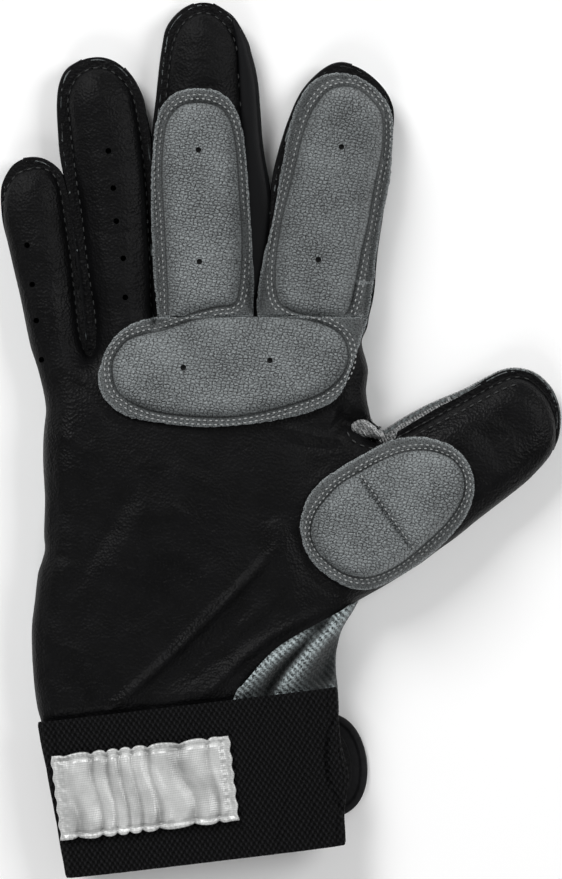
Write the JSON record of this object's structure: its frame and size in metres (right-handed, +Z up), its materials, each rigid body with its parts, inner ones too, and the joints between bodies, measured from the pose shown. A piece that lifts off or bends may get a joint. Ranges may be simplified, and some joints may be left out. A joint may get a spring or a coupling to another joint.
{
  "type": "protective inner glove",
  "caption": "Right-hand padded inner glove: sewn leather and knit shell, raised palm, finger and thumb pads, elastic cuff with a closing strap.",
  "frame": {"origin": "middle of the underside's bounding box, on the surface that the glove lies on", "axes": "+Y along the fingers, +X across the palm toward the thumb, +Z up out of the palm"},
  "size_m": [0.151, 0.236, 0.0213],
  "materials": {
    "leather": "soft black synthetic leather, slightly shiny",
    "knit": "grey ribbed stretch knit",
    "gusset": "smooth black stretch fabric",
    "cover": "grey pebbled synthetic leather, matte",
    "foam": "closed-cell foam",
    "elastic": "black woven elastic",
    "satin": "white satin label, left bare",
    "rubber": "moulded black rubber",
    "fastener": "black hook and loop tape"
  },
  "bodies": {
    "hand": {"palm_leather": "leather", "side_knit_panel": "knit", "back_panel": "knit", "palm_pad_cover": "cover", "palm_pad_foam": "foam", "thumb_root_pad_cover": "cover", "thumb_root_pad_foam": "foam", "cuff_front": "elastic", "cuff_back_outer": "elastic", "cuff_back_inner": "elastic", "label": "satin", "strap_root": "elastic", "loop_patch": "fastener"},
    "little_finger": {"little_front": "leather", "little_back": "knit", "little_gusset": "gusset"},
    "ring_finger": {"ring_front": "leather", "ring_back": "knit", "ring_gusset_left": "gusset", "ring_gusset_right": "gusset"},
    "middle_finger": {"middle_front": "leather", "middle_back": "knit", "middle_gusset_left": "gusset", "middle_gusset_right": "gusset", "middle_pad_cover": "cover", "middle_pad_foam": "foam"},
    "index_finger": {"index_front": "leather", "index_back": "knit", "index_gusset": "gusset", "index_pad_cover": "cover", "index_pad_foam": "foam"},
    "thumb": {"thumb_front": "leather", "thumb_back": "knit", "thumb_gusset": "knit", "thumb_pad_cover": "cover", "thumb_pad_foam": "foam", "thumb_web": "knit"},
    "strap": {"strap_web": "elastic", "strap_tab": "rubber", "hook_patch": "fastener"}
  },
  "joints": [
    {"name": "little_finger_bend", "type": "hinge", "parent": "hand", "child": "little_finger", "pos_m": [-0.0601, 0.02468, 0.0135], "axis": [1, 0, 0], "range_deg": [0, 60]},
    {"name": "ring_finger_bend", "type": "hinge", "parent": "hand", "child": "ring_finger", "pos_m": [-0.0431, 0.02958, 0.0135], "axis": [1, 0, 0], "range_deg": [0, 60]},
    {"name": "middle_finger_bend", "type": "hinge", "parent": "hand", "child": "middle_finger", "pos_m": [-0.02055, 0.03318, 0.0135], "axis": [1, 0, 0], "range_deg": [0, 60]},
    {"name": "index_finger_bend", "type": "hinge", "parent": "hand", "child": "index_finger", "pos_m": [0.0082, 0.03318, 0.0135], "axis": [1, 0, 0], "range_deg": [0, 60]},
    {"name": "thumb_bend", "type": "hinge", "parent": "hand", "child": "thumb", "pos_m": [0.02655, -0.01692, 0.0215], "axis": [0.585, -0.8111, 0], "range_deg": [0, 45]},
    {"name": "strap_opening", "type": "hinge", "parent": "hand", "child": "strap", "pos_m": [-0.04946, -0.09567, 0], "axis": [-0.1184, 0.993, 0], "range_deg": [0, 120]}
  ]
}
